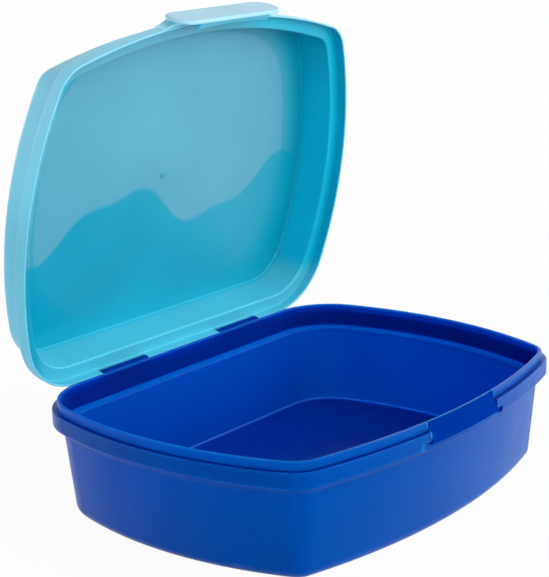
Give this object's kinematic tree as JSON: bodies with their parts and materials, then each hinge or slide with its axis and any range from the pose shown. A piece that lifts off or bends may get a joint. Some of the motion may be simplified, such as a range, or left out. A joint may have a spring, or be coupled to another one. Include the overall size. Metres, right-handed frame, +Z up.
{
  "type": "lunch box",
  "caption": "Low plastic lunch box with softly bulged sides, a hinged see-through lid with a label, and a flexing clip that snaps under a catch at the front.",
  "frame": {"origin": "middle of the flat underside of the tub", "axes": "+Z up, X along the box, -Y towards the clip at the front, +Y towards the hinge; the lid stands open at rest"},
  "size_m": [0.175, 0.1475, 0.1721],
  "materials": {
    "base_plastic": "opaque deep blue polypropylene with a soft sheen",
    "lid_plastic": "milky see-through cyan polypropylene",
    "label_film": "printed plastic film with plain soft shapes"
  },
  "bodies": {
    "base": {"base_tub": "base_plastic", "front_catch": "base_plastic", "hinge_hook_left": "base_plastic", "hinge_hook_right": "base_plastic"},
    "lid": {"lid_shell": "lid_plastic", "lid_label": "label_film", "hinge_bar_left": "lid_plastic", "hinge_bar_right": "lid_plastic", "clip_tongue": "lid_plastic"},
    "clip": {"front_clip": "lid_plastic"}
  },
  "joints": [
    {"name": "lid_hinge", "type": "hinge", "parent": "base", "child": "lid", "pos_m": [0, 0.06565, 0.0407], "axis": [-1, 0, 0], "range_deg": [-78.7, 31.3]},
    {"name": "clip_flex", "type": "hinge", "parent": "lid", "child": "clip", "pos_m": [0, 0.04391, 0.17066], "axis": [-1, 0, 0], "range_deg": [0, 40], "stiffness_Nm_per_rad": 0.05}
  ]
}
